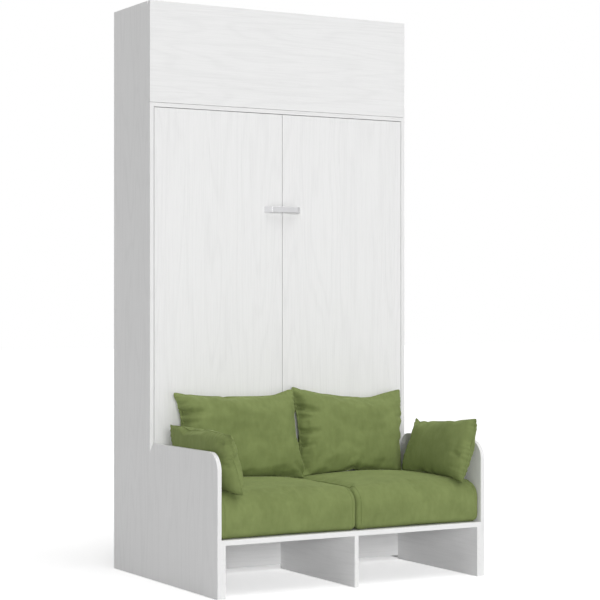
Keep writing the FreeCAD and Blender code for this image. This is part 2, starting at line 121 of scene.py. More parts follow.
class Finish:
    """A node tree that is built with Python expressions."""

    def __init__(self, tree):
        self.tree = tree
        self.tree.nodes.clear()

    def node(self, kind, settings, inputs, output=0):
        made = self.tree.nodes.new(kind)
        for name, value in settings.items():
            setattr(made, name, value)
        for name, value in inputs.items():
            if isinstance(value, Field):
                self.tree.links.new(value.socket, made.inputs[name])
            else:
                made.inputs[name].default_value = value
        return Field(self, made.outputs[output]) if made.outputs else None

    def place(self, scale=(1, 1, 1)):
        """The point on the object, with its axes stretched."""
        point = self.node("ShaderNodeTexCoord", {}, {}, "Object")
        return self.node("ShaderNodeMapping", {}, {"Vector": point, "Scale": scale})

    def clouds(self, place, scale, detail=2.0, roughness=0.5):
        inputs = {"Vector": place, "Scale": scale, "Detail": detail, "Roughness": roughness}
        return self.node("ShaderNodeTexNoise", {}, inputs)

    def stripes(self, place, scale, direction):
        settings = {"wave_type": "BANDS", "bands_direction": direction, "wave_profile": "SIN"}
        return self.node("ShaderNodeTexWave", settings, {"Vector": place, "Scale": scale}, 1)

    def mix(self, share, first, second):
        return self.node("ShaderNodeMix", {"data_type": "RGBA"}, {0: share, 6: first, 7: second}, 2)

    def surface(self, colour, roughness, relief, depth, fixed):
        """The shader. A relief has a depth in metres, and fixed holds what is the same all over."""
        bump = self.node("ShaderNodeBump", {}, {"Height": relief, "Distance": depth})
        inputs = {"Base Color": colour, "Roughness": roughness, **fixed, "Normal": bump}
        shader = self.node("ShaderNodeBsdfPrincipled", {}, inputs)
        self.node("ShaderNodeOutputMaterial", {}, {"Surface": shader})


def new_finish(name):
    material = bpy.data.materials.new(name)
    material.use_nodes = True
    return material, Finish(material.node_tree)


def screen(red, green, blue):
    """A colour as it is read on a screen, 0 to 255, turned into the linear values that nodes use."""
    def linear(value):
        share = value / 255
        return share / 12.92 if share < 0.04045 else ((share + 0.055) / 1.055) ** 2.4
    return (linear(red), linear(green), linear(blue), 1.0)


# %% [markdown]
# ## Floor, background and light
#
# The object stands in a plain white studio. A wide key light comes from high above the front, and a
# low fill from the camera's side reaches under the seat, so the front is bright and the cabinet's
# left side is in shade. The world lights the object weakly and is pure white only where the camera
# or a reflection looks at it. The floor does the same: it adds a little light of its own for the
# camera's rays, and keeps the object's shadow.

# %% Floor and background
floor_side = 80.0
floor_drop = 0.001
floor_lift = 0.50
world_light = 0.20
floor_grey = 0.90


def seen_directly(finish):
    """1 for the rays that come from the camera, a reflection or a clear pane, and else 0."""
    rays = [finish.node("ShaderNodeLightPath", {}, {}, name)
            for name in ("Is Camera Ray", "Is Glossy Ray", "Is Transmission Ray")]
    return rays[0].maths("MAXIMUM", rays[0], rays[1].maths("MAXIMUM", rays[1], rays[2]))


world = bpy.data.worlds.new("white studio")
world.use_nodes = True
bpy.context.scene.world = world
sky = Finish(world.node_tree)
sky_level = seen_directly(sky) * (1.0 - world_light) + world_light
sky_shader = sky.node("ShaderNodeBackground", {}, {"Color": (1, 1, 1, 1), "Strength": sky_level})
sky.node("ShaderNodeOutputWorld", {}, {"Surface": sky_shader})

floor_material, floor_finish = new_finish("pale floor")
floor_colour = (floor_grey, floor_grey, floor_grey, 1)
floor_matt = floor_finish.node("ShaderNodeBsdfDiffuse", {}, {"Color": floor_colour})
floor_glow = floor_finish.node("ShaderNodeEmission", {},
                               {"Strength": seen_directly(floor_finish) * floor_lift})
floor_shader = floor_finish.node("ShaderNodeAddShader", {}, {0: floor_matt, 1: floor_glow})
floor_finish.node("ShaderNodeOutputMaterial", {}, {"Surface": floor_shader})

bpy.ops.object.select_all(action="DESELECT")
bpy.ops.mesh.primitive_plane_add(size=floor_side, location=(0, 0, -floor_drop))
floor = bpy.context.object
floor.name = "floor"
floor.data.materials.append(floor_material)
print("floor", floor_side, "m square, world light", world_light)

# %% Soft key light and low fill
def soft_sun(name, strength, comes_from, softness):
    """A lamp without falloff. A wide angle gives soft shadows."""
    lamp = bpy.data.lights.new(name, "SUN")
    lamp.energy = strength
    lamp.angle = math.radians(softness)
    light = bpy.data.objects.new(name, lamp)
    light.rotation_euler = Vector(comes_from).to_track_quat("Z", "Y").to_euler()
    bpy.context.scene.collection.objects.link(light)


soft_sun("key", 1.45, (0.10, -0.16, 0.50), 50)
soft_sun("fill", 1.58, (-0.36, -0.92, 0.14), 20)
bpy.context.scene.view_settings.view_transform = "Standard"
print("key from above, fill from the front left")

# %% [markdown]
# ## White ash board
#
# The boards are chipboard with a printed and embossed white ash foil. Close up there are fine
# fibres, short pores and the pointed arches of cut wood, all only a little darker than the white.
# One recipe serves every board. Space is squeezed along the grain, so that round spots of noise
# become long streaks. The arches are contour lines of a slow noise, like height lines on a map.

# %% White ash board
ash_white = screen(236, 236, 236)
ash_grey = screen(225, 225, 225)
streak_squeeze = 0.022
arch_squeeze = 0.10


def ash_board(name, grain):
    """A board's finish, with its grain along one axis."""
    material, finish = new_finish(name)
    streaks, arches = [finish.place([squeeze if axis == grain else 1 for axis in "XYZ"])
                       for squeeze in (streak_squeeze, arch_squeeze)]
    fibres = finish.clouds(streaks, 190.0, 4.0, 0.62)
    pores = finish.clouds(streaks, 620.0, 1.0).between(0.60, 0.72)
    hills = finish.clouds(arches, 5.5, 2.0, 0.45)
    rings = (hills * 26.0).waves().between(0.45, 1.0)
    tone = finish.clouds(arches, 2.6, 1.0)
    dark = fibres.between(0.38, 0.72) * 0.34 + rings * 0.24 + pores * 0.32 + tone.between(0.3, 0.7) * 0.10
    colour = finish.mix(dark, ash_white, ash_grey)
    relief = 1.0 - (pores * 0.8 + fibres * 0.4 + rings * 0.2)
    finish.surface(colour, fibres * 0.12 + 0.46, relief, 0.00025, {"Specular IOR Level": 0.35})
    return material


ash_upright = ash_board("white ash upright", "Z")
ash_across = ash_board("white ash across", "X")
ash_inward = ash_board("white ash inward", "Y")
print("three ash finishes")

# %% [markdown]
# ## Green suede
#
# The covers are a brushed microfibre, like suede. Its short nap lies in different directions, so
# the green has soft lighter and darker patches, and edges look paler because the nap stands up
# there. The patches are two sizes of noise, the paler edges are the shader's sheen, and a very fine
# noise gives the nap itself.

# %% Green suede
suede_light = screen(133, 146, 92)
suede_dark = screen(110, 122, 73)


def green_suede():
    material, finish = new_finish("green suede")
    place = finish.place()
    patches = finish.clouds(place, 8.0, 3.0, 0.55)
    strokes = finish.clouds(finish.place((1, 1, 0.45)), 42.0, 3.0, 0.6)
    nap = finish.clouds(place, 1500.0, 2.0)
    light = patches.between(0.30, 0.70) * 0.34 + strokes.between(0.25, 0.75) * 0.30 + nap * 0.16 + 0.10
    colour = finish.mix(light, suede_dark, suede_light)
    relief = finish.clouds(place, 30.0, 3.0) * 0.85 + nap * 0.15
    fixed = {"Sheen Weight": 0.22, "Sheen Roughness": 0.45, "Sheen Tint": screen(190, 205, 140),
             "Specular IOR Level": 0.15}
    finish.surface(colour, 0.92 - nap * 0.08, relief, 0.0018, fixed)
    return material


suede = green_suede()
print("suede from", suede_dark[:3], "to", suede_light[:3])

# %% [markdown]
# ## Mattress ticking, webbing and beech
#
# The mattress cover is a white knit with fine ribs. Webbing is woven so tightly that it shows as
# fine ribs across the strap. The slats are pressed beech veneers: warm, with short dark flecks.

# %% Ticking, webbing, beech
def mattress_ticking():
    material, finish = new_finish("mattress ticking")
    place = finish.place()
    ribs = finish.stripes(place, 190.0, "X") * finish.stripes(place, 120.0, "Z")
    patches = finish.clouds(place, 6.0, 2.0)
    colour = finish.mix(ribs * 0.35 + patches * 0.4, screen(236, 235, 230), screen(214, 213, 207))
    fixed = {"Sheen Weight": 0.15, "Specular IOR Level": 0.2}
    finish.surface(colour, 0.88 - ribs * 0.08, ribs, 0.0006, fixed)
    return material


def strap_webbing():
    material, finish = new_finish("strap webbing")
    place = finish.place()
    ribs = finish.stripes(place, 210.0, "X")
    rows = finish.stripes(place, 160.0, "Z")
    wear = finish.clouds(place, 35.0, 3.0)
    colour = finish.mix(ribs * 0.5 + wear * 0.4, screen(46, 47, 50), screen(84, 86, 90))
    finish.surface(colour, 0.80 - wear * 0.10, ribs + rows * 0.5, 0.0004, {"Specular IOR Level": 0.3})
    return material


def beech_slat():
    material, finish = new_finish("pressed beech")
    along = finish.place((0.03, 1, 1))
    fibres = finish.clouds(along, 240.0, 4.0, 0.6)
    flecks = finish.clouds(finish.place((0.12, 1, 1)), 520.0, 1.0).between(0.62, 0.70)
    tone = finish.clouds(along, 14.0, 2.0)
    colour = finish.mix(fibres * 0.6 + tone * 0.5, screen(222, 190, 148), screen(188, 148, 106))
    colour = finish.mix(flecks * 0.5, colour, screen(150, 106, 70))
    finish.surface(colour, fibres * 0.15 + 0.38, fibres, 0.0002, {"Coat Weight": 0.25})
    return material


ticking = mattress_ticking()
webbing = strap_webbing()
beech = beech_slat()
print("ticking, webbing, beech")

# %% [markdown]
# ## Metals, paint, rubber and plastic
#
# The bed frame is grey powder coat with its fine orange-peel skin. Flanges and hinges are zinc
# plated, the handle is satin metal brushed along its length, the gas springs are black paint with
# a chromed rod. Each finish is a base colour, a roughness that varies a little with handling marks,
# and a faint relief.

# %% Metals, paint, rubber and plastic
def hard_finish(name, light, dark, roughness, spots, relief, depth, fixed, scale=(1, 1, 1)):
    """A hard surface whose tone and gloss vary with small spots and slow handling marks."""
    material, finish = new_finish(name)
    place = finish.place(scale)
    grain = finish.clouds(place, spots, 3.0, 0.6)
    marks = finish.clouds(finish.place(), 9.0, 4.0, 0.6).between(0.35, 0.75)
    colour = finish.mix(grain * 0.6 + marks * 0.4, light, dark)
    finish.surface(colour, grain * relief + marks * 0.08 + roughness, grain, depth, fixed)
    return material


powder_grey = hard_finish("grey powder coat", screen(150, 152, 155), screen(132, 134, 137),
                          0.42, 700.0, 0.10, 0.00025, {"Specular IOR Level": 0.5})
zinc = hard_finish("zinc plate", screen(205, 206, 208), screen(168, 170, 174),
                   0.28, 160.0, 0.12, 0.00004, {"Metallic": 1.0})
satin = hard_finish("satin metal", screen(212, 212, 213), screen(192, 192, 194),
                    0.30, 420.0, 0.12, 0.00005, {"Metallic": 1.0}, (0.02, 1, 1))
black_paint = hard_finish("black gloss paint", screen(34, 34, 36), screen(22, 22, 24),
                          0.24, 240.0, 0.05, 0.00005, {"Coat Weight": 0.3})
chrome = hard_finish("chrome rod", screen(232, 233, 236), screen(214, 216, 220),
                     0.08, 300.0, 0.04, 0.00002, {"Metallic": 1.0})
rubber = hard_finish("black rubber", screen(52, 52, 53), screen(38, 38, 39),
                     0.70, 500.0, 0.12, 0.00020, {"Specular IOR Level": 0.3})
plastic = hard_finish("black nylon", screen(48, 49, 51), screen(36, 37, 39),
                      0.48, 380.0, 0.10, 0.00012, {"Specular IOR Level": 0.4})
print("seven hard finishes")

# %% [markdown]
# ## Dressing the construction
#
# Each CAD piece already names the slot that its finish belongs to. The slots map to the finishes
# above. White boards differ only in the way their grain runs: upright on doors, sides and arms,
# across on the flap and the long boards, and inward on the short boards under the seat.

# %% Dressing the construction
finish_of_slot = {
    "white_board": ash_upright, "green_fabric": suede, "mattress_fabric": ticking,
    "webbing": webbing, "beech": beech, "steel_grey": powder_grey, "steel": zinc,
    "satin_metal": satin, "black_tube": black_paint, "chrome": chrome, "rubber": rubber,
    "plastic": plastic,
}
boards_across = ("flap_door", "cabinet_top_board", "seat_board", "lower_front_panel", "lower_rear_rail",
                 "headboard_panel", "upper_rear_rail", "upper_bottom_board", "upper_top_board",
                 "upper_back_panel")
boards_inward = ("seat_support_left", "seat_support_right", "divider_panel")
board_finish = dict.fromkeys(boards_across, ash_across) | dict.fromkeys(boards_inward, ash_inward)

for name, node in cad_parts.items():
    for slot in node.material_slots:
        slot.material = board_finish.get(name, finish_of_slot[slot.material.name.split(".")[0]])
print("dressed", len(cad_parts), "CAD pieces")

# %% [markdown]
# ## A few tools for modelling by hand
#
# New pieces start as a primitive and are shaped with the same operators that the mouse would
# reach. An operator acts on everything that is selected, so each tool first makes its piece the
# only one. Faces, edges or corners are then picked by their place. A hair is the least distance that
# counts when places are compared.

# %% Modelling tools
hair = 1e-4


def only(piece):
    """Makes a piece the one that is selected and active."""
    bpy.ops.object.select_all(action="DESELECT")
    piece.select_set(True)
    bpy.context.view_layer.objects.active = piece


def shape(operator, **settings):
    """Runs an edit-mode operator on what is selected in the active piece."""
    bpy.ops.object.mode_set(mode="EDIT")
    operator(**settings)
    bpy.ops.object.mode_set(mode="OBJECT")


def shape_all(piece, operator, **settings):
    """Runs an edit-mode operator on the whole piece."""
    only(piece)
    shape(bpy.ops.mesh.select_all, action="SELECT")
    shape(operator, **settings)


def pick(piece, kind, test):
    """Selects the corners, edges or faces whose middle passes the test."""
    only(piece)
    shape(bpy.ops.mesh.select_mode, type=kind)
    shape(bpy.ops.mesh.select_all, action="DESELECT")
    mesh = piece.data
    points = [corner.co for corner in mesh.vertices]
    if kind == "VERT":
        parts = [(part, part.co) for part in mesh.vertices]
    elif kind == "EDGE":
        parts = [(part, (points[part.vertices[0]] + points[part.vertices[1]]) / 2) for part in mesh.edges]
    else:
        parts = [(part, part.center) for part in mesh.polygons]
    for part, middle in parts:
        part.select = bool(test(middle))


def finish_with(piece, kind, **settings):
    """Adds a modifier, sets it and applies it."""
    only(piece)
    modifier = piece.modifiers.new(kind.lower(), kind)
    for name, value in settings.items():
        setattr(modifier, name, value)
    bpy.ops.object.modifier_apply(modifier=modifier.name)


def new_block(name, low, high):
    """A block between two corners, with its place in its mesh."""
    low, high = Vector(low), Vector(high)
    bpy.ops.object.select_all(action="DESELECT")
    bpy.ops.mesh.primitive_cube_add(size=1)
    block = bpy.context.object
    block.name = name
    shape_all(block, bpy.ops.transform.resize, value=high - low)
    shape_all(block, bpy.ops.transform.translate, value=(low + high) / 2)
    return block


def turn(piece, axis, degrees):
    """Turns a mesh round the origin. With no window the operator turns the other way, hence the minus."""
    shape_all(piece, bpy.ops.transform.rotate, value=-math.radians(degrees), orient_axis=axis,
              center_override=(0, 0, 0))


def size_of(piece):
    """The lowest and the highest corner of the box round a piece."""
    corners = [corner.co for corner in piece.data.vertices]
    low = Vector([min(corner[axis] for corner in corners) for axis in range(3)])
    high = Vector([max(corner[axis] for corner in corners) for axis in range(3)])
    return low, high


def smooth_shading(piece, material):
    only(piece)
    bpy.ops.object.shade_smooth()
    piece.data.materials.clear()
    piece.data.materials.append(material)


# %% [markdown]
# ## Filling a soft piece
#
# A cushion is a cover under pressure from its filling. Blender's cloth can do that: it treats the
# closed mesh as fabric, and a pressure from inside swells it until the fabric holds. Gravity is
# off, because the filling carries the cover. A cushion can't grow without end, so it is filled to a
# volume, or each point may move only so far: long moves are shortened smoothly.

# %% Filling with cloth pressure
simulated_frames = 20
cover_fabric = {"quality": 6, "mass": 0.3, "air_damping": 3.0, "tension_stiffness": 15.0,
                "compression_stiffness": 15.0, "shear_stiffness": 5.0, "bending_stiffness": 0.5}


def fill(piece, pressure, volume=None, most_moved=None):
    """Swells a closed mesh like a filled cover and applies the result."""
    start = [corner.co.copy() for corner in piece.data.vertices]
    only(piece)
    cloth = piece.modifiers.new("filling", "CLOTH")
    settings = cloth.settings
    for name, value in cover_fabric.items():
        setattr(settings, name, value)
    settings.effector_weights.gravity = 0.0
    settings.use_pressure = True
    if volume is None:
        settings.uniform_pressure_force = pressure
    else:
        settings.uniform_pressure_force = 0.0
        settings.use_pressure_volume = True
        settings.target_volume = volume
        settings.pressure_factor = pressure
    cloth.point_cache.frame_start = 1
    cloth.point_cache.frame_end = simulated_frames
    for frame_number in range(1, simulated_frames + 1):
        bpy.context.scene.frame_set(frame_number)
    bpy.ops.object.modifier_apply(modifier=cloth.name)
    bpy.context.scene.frame_set(1)
    if most_moved:
        for corner, before in zip(piece.data.vertices, start):
            move = corner.co - before
            length = move.length
            if length > 0:
                corner.co = before + move * (most_moved * math.tanh(length / most_moved) / length)


# %% [markdown]
# ## Pulling and pressing
#
# A crown is pulled up as by hand, with proportional editing: one point goes to its place, and its
# neighbours follow less and less. Where a cushion meets a board, it is pressed flat. A point that
# would pass the board's plane stops at it, and the points just short of it are slowed smoothly, so
# that the flat part has no sharp border.

# %% Pulling and pressing
press_softness = 0.004
out_of_reach = 1.0
rest_gap = 0.001


def pull_nearest(piece, goal, reach):
    """Pulls the nearest point of a soft piece to a goal, and what lies round it less and less."""
    goal = Vector(goal)
    start = min((corner.co.copy() for corner in piece.data.vertices), key=lambda point: (point - goal).length)
    pick(piece, "VERT", lambda point: (point - start).length < hair)
    shape(bpy.ops.transform.translate, value=goal - start, use_proportional_edit=True,
          proportional_edit_falloff="SMOOTH", proportional_size=reach)


def keep_within(piece, low, high):
    """Flattens a soft piece against the planes that it rests on or is squeezed between."""
    def pressed(value, limit, sign):
        beyond = sign * (value - limit) + press_softness
        if beyond <= 0:
            return value
        return limit - sign * press_softness * (1 - math.tanh(beyond / press_softness))
    for corner in piece.data.vertices:
        for axis in range(3):
            corner.co[axis] = pressed(pressed(corner.co[axis], low[axis], -1), high[axis], 1)


# %% [markdown]
# ## Seat cushions
#
# A seat cushion is a foam block in a boxed cover: the fabric runs over the front, the top and the
# back in one piece, and a flat panel closes each end, with a thin piped seam between them. The
# top front edge is the roundest, and the top is crowned. The foam block is a bevelled box that the
# filling swells a little. Its ends stay flat, because they press on the arm and on each other.

# %% Seat cushion shapes
seat_front_round = 0.076
seat_back_round = 0.030
seat_edge_round = 0.022
seat_swell = 0.006
seat_crown = 0.026
seat_crown_reach = 0.44
seat_inset = 0.003
seat_pressure = 4.0
seat_most_moved = 0.012
seat_stretch = (1.030, 1.016, 1.0)
seat_split = 0.010
seat_arm_reach = 0.0015
seat_voxel = 0.008
piping_radius = 0.0022


def seat_room(node):
    """The box that a seat cushion may fill: from its arm to a split a little right of the middle."""
    low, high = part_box(node)
    split, arm_reach = Vector((seat_split, 0, 0)), Vector((seat_arm_reach, 0, 0))
    if low.x + high.x < 0:
        return low - arm_reach, high + split
    return low + split, high + arm_reach


def seat_cushion(name, node):
    low, high = seat_room(node)
    start_low = low + Vector((seat_inset, seat_swell, 0))
    start_high = high - Vector((seat_inset, seat_inset, seat_swell + seat_crown))
    cushion = new_block(name, start_low, start_high)
    pick(cushion, "EDGE", lambda middle: middle.z > start_high.z - hair and middle.y < start_low.y + hair)
    shape(bpy.ops.mesh.bevel, offset=seat_front_round, segments=8, affect="EDGES")
    pick(cushion, "EDGE", lambda middle: middle.z > start_high.z - hair and middle.y > start_high.y - hair)
    shape(bpy.ops.mesh.bevel, offset=seat_back_round, segments=6, affect="EDGES")
    shape_all(cushion, bpy.ops.mesh.bevel, offset=seat_edge_round, segments=4, affect="EDGES")
    finish_with(cushion, "REMESH", mode="VOXEL", voxel_size=seat_voxel)
    centre = (start_low + start_high) / 2
    pull_nearest(cushion, (centre.x, centre.y, start_high.z + seat_crown), seat_crown_reach)
    fill(cushion, seat_pressure, most_moved=seat_most_moved)
    shape_all(cushion, bpy.ops.transform.translate, value=-centre)
    shape_all(cushion, bpy.ops.transform.resize, value=seat_stretch)
    shape_all(cushion, bpy.ops.transform.translate, value=centre)
    keep_within(cushion, low, high)
    finish_with(cushion, "SUBSURF", levels=1, render_levels=1)
    smooth_shading(cushion, suede)
    return cushion


def piped_seam(name, piece, at, normal, radius, material):
    """A thin piped seam where a plane cuts the surface of a piece."""
    only(piece)
    bpy.ops.object.duplicate()
    seam = bpy.context.object
    seam.name = name
    shape_all(seam, bpy.ops.mesh.bisect, plane_co=at, plane_no=normal, clear_inner=True, clear_outer=True)
    bpy.ops.object.convert(target="CURVE")
    seam.data.bevel_depth = radius
    seam.data.bevel_resolution = 2
    bpy.ops.object.convert(target="MESH")
    smooth_shading(seam, material)
    return seam


seat_pads = {}
for side in ("left", "right"):
    node = "seat_cushion_" + side
    pad = seat_cushion("seat_pad_" + side, node)
    low, high = seat_room(node)
    # The right cushion is worked in the same order, so there the outer seam is the one at the split.
    for end, x in (("outer", low.x + seat_edge_round), ("inner", high.x - seat_edge_round)):
        seam = piped_seam("seat_seam_" + side + "_" + end, pad, (x, 0, 0), (1, 0, 0), piping_radius, suede)
        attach(seam, "carcass")
    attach(pad, "carcass")
    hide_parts(node)
    seat_pads[side] = pad
    print(pad.name, len(pad.data.polygons), "faces", size_of(pad))

# %% [markdown]
# ## Loose cushions
#
# A back or arm cushion is two flat sheets sewn together round the edge and stuffed. Everything that
# makes it look soft comes from that: the corners stay thin and pointed like ears, the sides draw
# in between them, and the middle is full. So it is made the same way: a flat grid is doubled, its
# edge is closed, and the filling swells it. A narrow lip along the edge is the seam. Every point
# keeps its place on the flat sheet, so that later steps know how far it is from the seam.

# %% Sewn cushion
sheet_cell = 0.0090
sheet_gap = 0.005
sheet_unevenness = 0.014
stuffing_pressure = 2.0
least_measured_share = 0.2
seam_lip = 0.0030


def cut_sheets(name, width, height, seed):
    """Two flat sheets, one on the other, closed round the edge and a little uneven."""
    bpy.ops.object.select_all(action="DESELECT")
    bpy.ops.mesh.primitive_grid_add(x_subdivisions=round(width / sheet_cell),
                                    y_subdivisions=round(height / sheet_cell), size=1)
    sheets = bpy.context.object
    sheets.name = name
    shape_all(sheets, bpy.ops.transform.resize, value=(width, height, 1))
    cut = sheets.data.attributes.new("cut_place", "FLOAT_VECTOR", "POINT")
    for place, corner in zip(cut.data, sheets.data.vertices):
        place.vector = corner.co
    shape_all(sheets, bpy.ops.transform.vertex_random, offset=sheet_unevenness, normal=1.0, seed=seed)
    shape_all(sheets, bpy.ops.mesh.vertices_smooth, factor=0.5, repeat=6)
    finish_with(sheets, "SOLIDIFY", thickness=sheet_gap, offset=0)
    return sheets


def sewn_cushion(name, size, slack, seed, volume_share, fullness, calming):
    """A stuffed cushion, flat on XY at the origin, of a finished width, height and thickness. Less
    than 1 in fullness packs more filling towards the seam. Calming smooths out small wrinkles."""
    width, height, thickness = size
    cushion = cut_sheets(name, width * slack, height * slack, seed)
    rim_faces = [face.index for face in cushion.data.polygons if abs(face.normal.z) < 0.5]
    fill(cushion, stuffing_pressure, volume=width * height * thickness * volume_share)
    low, high = size_of(cushion)
    shape_all(cushion, bpy.ops.transform.translate, value=-(low + high) / 2)
    measured = high - low
    least = thickness * least_measured_share
    factors = [want / max(have, least) for want, have in zip(size, measured)]
    shape_all(cushion, bpy.ops.transform.resize, value=factors)
    shape_all(cushion, bpy.ops.mesh.vertices_smooth, factor=0.5, repeat=calming)
    room = thickness / 2 - sheet_gap
    for corner in cushion.data.vertices:
        side = 1 if corner.co.z > 0 else -1
        share = max(0.0, abs(corner.co.z) - sheet_gap) / room
        if share > 0:
            corner.co.z = side * (sheet_gap + room * share ** fullness)
    pick(cushion, "FACE", lambda middle: False)
    for index in rim_faces:
        cushion.data.polygons[index].select = True
    shape(bpy.ops.mesh.extrude_region_shrink_fatten,
          TRANSFORM_OT_shrink_fatten={"value": seam_lip})
    print("   ", name, "swelled to", [round(value, 3) for value in measured])
    return cushion


# %% [markdown]
# ## Gathers and creases
#
# The seam is shorter than the sheets that it holds, so small folds start at it and fade into the
# sheet. The filling leaves a few larger creases near the corners. Both are moves of single points
# along the surface's normal: a wave that runs along the seam and fades with the distance from it,
# and a groove along a line with a puffed lip on each side.

# %% Gathers and creases
gather_pitch = 0.021
gather_calmer = 0.35
gather_reach = 0.034
gather_group_scale = 9.0
gather_group_level = 0.5
gather_group_swing = 1.3
bend_scale_along = 30.0
bend_scale_inward = 22.0
bend_swing = 2.6
seam_calm = 0.009
crease_reach = 3.5


def gather(piece, seed, depth):
    """Small folds that start at the seam. They come in groups, with calm stretches between them, and
    are weaker along the top and the bottom."""
    cut = [place.vector.copy() for place in piece.data.attributes["cut_place"].data]
    side = max(place.x for place in cut)
    end = max(place.y for place in cut)
    normals = [corner.normal.copy() for corner in piece.data.vertices]
    for corner, place, normal in zip(piece.data.vertices, cut, normals):
        from_side, from_end = side - abs(place.x), end - abs(place.y)
        along = place.y if from_side < from_end else place.x
        inset = max(0.0, min(from_side, from_end))
        group = noise.noise(Vector((along * gather_group_scale, seed, from_side < from_end)))
        bend = noise.noise(Vector((along * bend_scale_along, inset * bend_scale_inward, seed)))
        wave = math.sin(2 * math.pi * along / gather_pitch + bend_swing * bend)
        fade = math.exp(-inset / gather_reach) * min(1.0, inset / seam_calm)
        fade *= 1.0 if from_side < from_end else gather_calmer
        strength = max(0.0, gather_group_level + gather_group_swing * group)
        corner.co += normal * (depth * strength * fade * wave)


def crease(piece, facing, start, end, width, depth):
    """A groove in one face, along a line between two points, deepest at its start, with puffed lips.
    Its reach to each side is so many times its width."""
    facing = Vector(facing)
    start, way = Vector(start), Vector(end) - Vector(start)
    normals = [corner.normal.copy() for corner in piece.data.vertices]
    for corner, normal in zip(piece.data.vertices, normals):
        from_start = corner.co - start
        from_start -= facing * from_start.dot(facing)
        share = min(max(from_start.dot(way) / way.length_squared, 0.0), 1.0)
        away = (from_start - way * share).length / width
        if away < crease_reach and normal.dot(facing) > 0:
            groove = (1 - away * away / 2) * math.exp(-away * away / 2)
            corner.co -= normal * (depth * (1 - share * share) * groove)


# %% [markdown]
# ## Fitting a rim
#
# The picture shows the outline of each loose cushion, and a simulation alone doesn't meet it. So the
# rim is moved onto a line through a few places. The cushion is cut into narrow strips in thought.
# The outermost point of a strip is its level, and the strip moves by what its level lacks. Levels and
# line are evened first, so the rim stays smooth. A line is written as the axis that it runs along, the
# side that it lies on, its places, and the depth below the rim at which the move has faded.

# %% Fitting a rim
rim_strip = 0.012
level_rounds = 3
line_rounds = 4
skipped_strips = 2


def evened(values, rounds):
    """A row of values in which each becomes the mean of itself and its neighbours, a few times."""
    for again in range(rounds):
        values = [(values[max(index - 1, 0)] + value + values[min(index + 1, len(values) - 1)]) / 3
                  for index, value in enumerate(values)]
    return values


def on_line(points, place):
    """The height of a line through points, at a place. Beyond its ends it stays level."""
    for (start, low), (end, high) in zip(points, points[1:]):
        if place <= end:
            share = max(0.0, (place - start) / (end - start))
            return low + (high - low) * share
    return points[-1][1]


def fit_rim(piece, along, outward, goals, reach, furthest=0.030):
    """Moves the rim of a piece onto a smooth line. Each goal is a place along one axis and the rim's
    level on another. The move has faded at the reach below the rim. Where the rim turns a corner, its
    level jumps further than the furthest move, and that bit moves with its neighbour."""
    across = "xyz".index(along)
    axis = "xyz".index(outward[1])
    sign = -1 if outward[0] == "-" else 1
    points = [corner.co for corner in piece.data.vertices]
    first = min(point[across] for point in points)
    count = 1 + int((max(point[across] for point in points) - first) / rim_strip)
    strips = [[] for index in range(count)]
    for point in points:
        strips[int((point[across] - first) / rim_strip)].append(sign * point[axis])
    places = [first + (index + 0.5) * rim_strip for index in range(count)]
    levels = evened([max(strip) for strip in strips], level_rounds)
    wanted = evened([sign * on_line(goals, place) for place in places], line_rounds)
    moves = [want - level for level, want in zip(levels, wanted)]
    lowest = max(places[skipped_strips], goals[0][0])
    highest = min(places[-1 - skipped_strips], goals[-1][0])
    known = [index for index, place in enumerate(places)
             if lowest <= place <= highest and abs(moves[index]) < furthest]
    nearest = [min(known, key=lambda other: abs(other - index)) for index in range(count)]
    level_line = [(place, levels[index]) for place, index in zip(places, nearest)]
    move_line = [(place, moves[index]) for place, index in zip(places, nearest)]
    for point in points:
        depth = on_line(level_line, point[across]) - sign * point[axis]
        share = 1.0 - min(max(depth / reach, 0.0), 1.0)
        point[axis] += sign * on_line(move_line, point[across]) * share * share * (3 - 2 * share)


# %% Resting on another piece, and the last details
look_down_from = 0.25


def press_onto(piece, support):
    """Lifts the underside of a soft piece to just above the surface that carries it."""
    surface = BVHTree.FromPolygons([corner.co for corner in support.data.vertices],
                                   [face.vertices for face in support.data.polygons])
    above, down = Vector((0, 0, look_down_from)), Vector((0, 0, -1))
    lifted = 0
    for corner in piece.data.vertices:
        hit = surface.ray_cast(corner.co + above, down)[0]
        if hit is not None and corner.co.z < hit.z + rest_gap:
            corner.co.z = hit.z + rest_gap
            lifted += 1
    print("   ", piece.name, "has", lifted, "points pressed onto", support.name)


def rest_and_detail(cushion, support, seed, gather_depth, facing, creases):
    """Rests a cushion on a piece, divides it once, and adds its gathers, its creases and its cover."""
    press_onto(cushion, support)
    finish_with(cushion, "SUBSURF", levels=1, render_levels=1)
    gather(cushion, seed, gather_depth)
    for start, end, width, depth in creases:
        crease(cushion, facing, start, end, width, depth)
    smooth_shading(cushion, suede)
    print(cushion.name, len(cushion.data.polygons), "faces", size_of(cushion))
